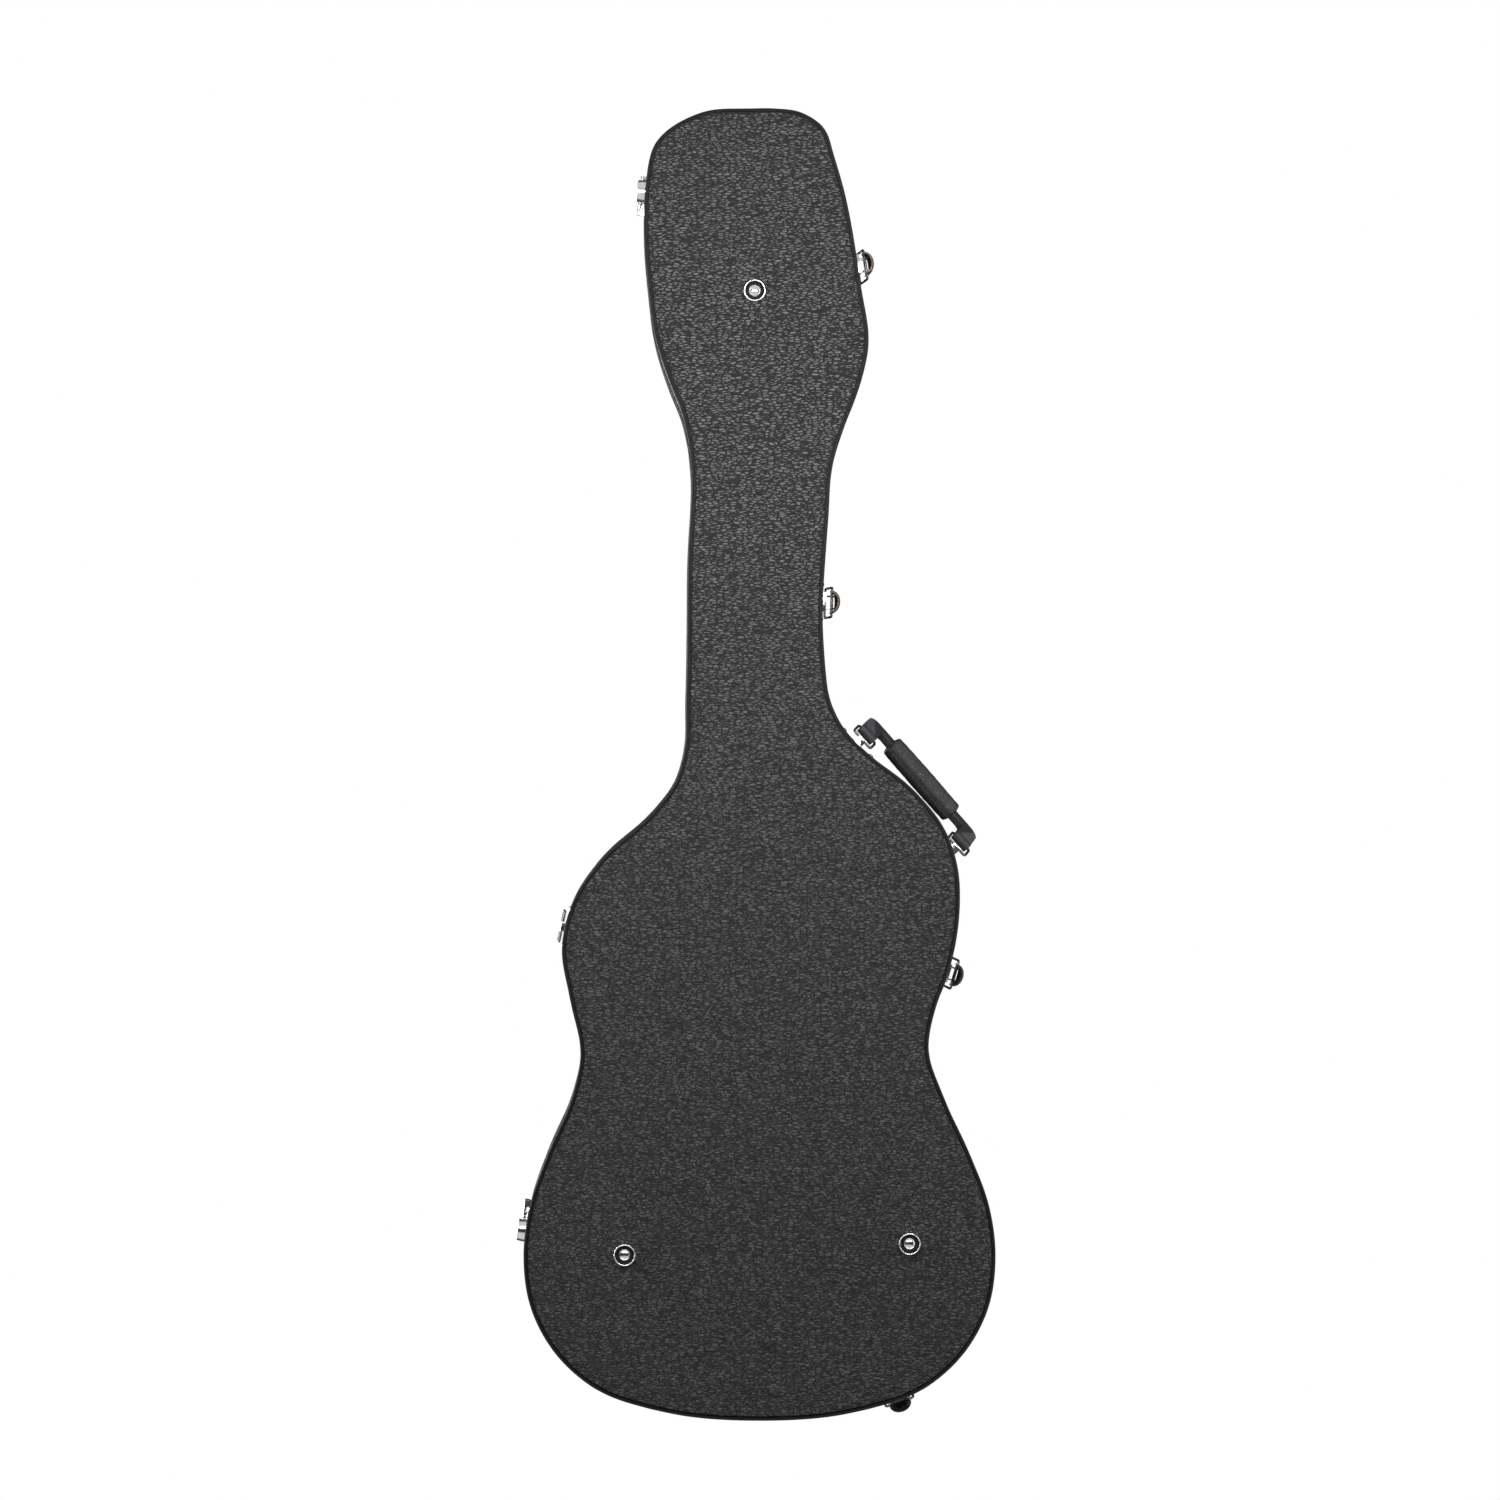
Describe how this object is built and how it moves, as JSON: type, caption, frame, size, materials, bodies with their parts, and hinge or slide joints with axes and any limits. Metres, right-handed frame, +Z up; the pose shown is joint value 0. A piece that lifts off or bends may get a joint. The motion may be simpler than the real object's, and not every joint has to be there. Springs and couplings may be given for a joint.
{
  "type": "guitar case",
  "caption": "Shaped hard case for an electric guitar: hinged lid, wire-loop latches, swinging handle, plush cavity and accessory box.",
  "frame": {"origin": "on the floor under the middle of the case's outer box, with the case lying on the three feet of its back", "axes": "+X from the head end to the bottom end, +Y towards the hinge side, +Z up through the lid"},
  "size_m": [1.0612, 0.3884, 0.1085],
  "materials": {
    "covering": "satin",
    "piping": "satin",
    "plush": "matte",
    "ribbon": "satin",
    "strap": "satin",
    "plating": "polished"
  },
  "bodies": {
    "base": {"back_panel": "covering", "back_piping": "piping", "base_wall": "covering", "base_valance": "piping", "inner_lip": "piping", "base_lining": "plush", "body_surround": "plush", "neck_pads": "plush", "head_surround": "plush", "neck_cradle": "plush", "accessory_box": "plush", "back_feet": "plating", "back_foot_screws": "plating", "side_feet": "plating", "side_foot_screws": "plating", "hinge_base_leaves": "plating", "hinge_pins": "plating", "base_rivets": "plating", "latch_pins": "plating", "head_latch_plate": "plating", "neck_latch_plate": "plating", "body_latch_plate": "plating", "end_latch_plate": "plating", "front_handle_bracket": "plating", "rear_handle_bracket": "plating", "strap_ring_bracket": "plating"},
    "lid": {"lid_panel": "covering", "lid_piping": "piping", "lid_wall": "covering", "lid_valance": "piping", "lid_lining": "plush", "lid_body_pad": "plush", "lid_neck_pad": "plush", "hinge_lid_leaves": "plating", "lid_rivets": "plating", "head_keeper": "plating", "neck_keeper": "plating", "body_keeper": "plating", "end_keeper": "plating"},
    "accessory_cover": {"accessory_lid": "plush", "accessory_pull": "ribbon"},
    "handle_rings": {"front_handle_ring": "plating", "rear_handle_ring": "plating"},
    "handle": {"handle_strap": "strap", "handle_grip": "covering"},
    "strap_loop": {"strap_ring": "plating"},
    "head_lever": {"head_latch_lever": "plating"},
    "head_loop": {"head_latch_loop": "plating"},
    "neck_lever": {"neck_latch_lever": "plating"},
    "neck_loop": {"neck_latch_loop": "plating"},
    "body_lever": {"body_latch_lever": "plating"},
    "body_loop": {"body_latch_loop": "plating"},
    "end_lever": {"end_latch_lever": "plating"},
    "end_loop": {"end_latch_loop": "plating"}
  },
  "joints": [
    {"name": "lid_hinge", "type": "hinge", "parent": "base", "child": "lid", "pos_m": [-0.46787, 0.09199, 0.0655], "axis": [-0.9934, -0.1143, 0], "range_deg": [0, 105]},
    {"name": "head_latch_lever_pivot", "type": "hinge", "parent": "base", "child": "head_lever", "pos_m": [-0.40933, -0.09092, 0.0535], "axis": [-0.9888, 0.1494, 0], "range_deg": [0, 130]},
    {"name": "head_latch_loop_pivot", "type": "hinge", "parent": "head_lever", "child": "head_loop", "pos_m": [-0.40933, -0.09092, 0.0475], "axis": [-0.9888, 0.1494, 0], "range_deg": [-130, 0]},
    {"name": "neck_latch_lever_pivot", "type": "hinge", "parent": "base", "child": "neck_lever", "pos_m": [-0.13258, -0.06344, 0.0535], "axis": [-0.9995, -0.0325, 0], "range_deg": [0, 130]},
    {"name": "neck_latch_loop_pivot", "type": "hinge", "parent": "neck_lever", "child": "neck_loop", "pos_m": [-0.13258, -0.06344, 0.0475], "axis": [-0.9995, -0.0325, 0], "range_deg": [-130, 0]},
    {"name": "body_latch_lever_pivot", "type": "hinge", "parent": "base", "child": "body_lever", "pos_m": [0.1724, -0.16406, 0.0535], "axis": [-0.9568, -0.2907, 0], "range_deg": [0, 130]},
    {"name": "body_latch_loop_pivot", "type": "hinge", "parent": "body_lever", "child": "body_loop", "pos_m": [0.1724, -0.16406, 0.0475], "axis": [-0.9568, -0.2907, 0], "range_deg": [-130, 0]},
    {"name": "end_latch_lever_pivot", "type": "hinge", "parent": "base", "child": "end_lever", "pos_m": [0.52217, -0.11896, 0.0535], "axis": [-0.3304, -0.9438, 0], "range_deg": [0, 130]},
    {"name": "end_latch_loop_pivot", "type": "hinge", "parent": "end_lever", "child": "end_loop", "pos_m": [0.52217, -0.11896, 0.0475], "axis": [-0.3304, -0.9438, 0], "range_deg": [-130, 0]},
    {"name": "handle_ring_pivot", "type": "hinge", "parent": "base", "child": "handle_rings", "pos_m": [0.02363, -0.12685, 0.05], "axis": [0.7513, -0.66, 0], "range_deg": [0, 60]},
    {"name": "handle_pivot", "type": "hinge", "parent": "handle_rings", "child": "handle", "pos_m": [0.01941, -0.13166, 0.06245], "axis": [0.7513, -0.66, 0], "range_deg": [0, 100]},
    {"name": "strap_ring_pivot", "type": "hinge", "parent": "base", "child": "strap_loop", "pos_m": [0.1329, 0.15747, 0.05], "axis": [-0.9806, -0.196, 0], "range_deg": [0, 150]},
    {"name": "accessory_cover_hinge", "type": "hinge", "parent": "base", "child": "accessory_cover", "pos_m": [-0.12539, 0.024, 0.0418], "axis": [-1, 0, 0], "range_deg": [0, 90]}
  ],
  "couplings": [
    {"joint": "head_latch_loop_pivot", "follows": "head_latch_lever_pivot", "ratio": -1},
    {"joint": "neck_latch_loop_pivot", "follows": "neck_latch_lever_pivot", "ratio": -1},
    {"joint": "body_latch_loop_pivot", "follows": "body_latch_lever_pivot", "ratio": -1},
    {"joint": "end_latch_loop_pivot", "follows": "end_latch_lever_pivot", "ratio": -1}
  ]
}
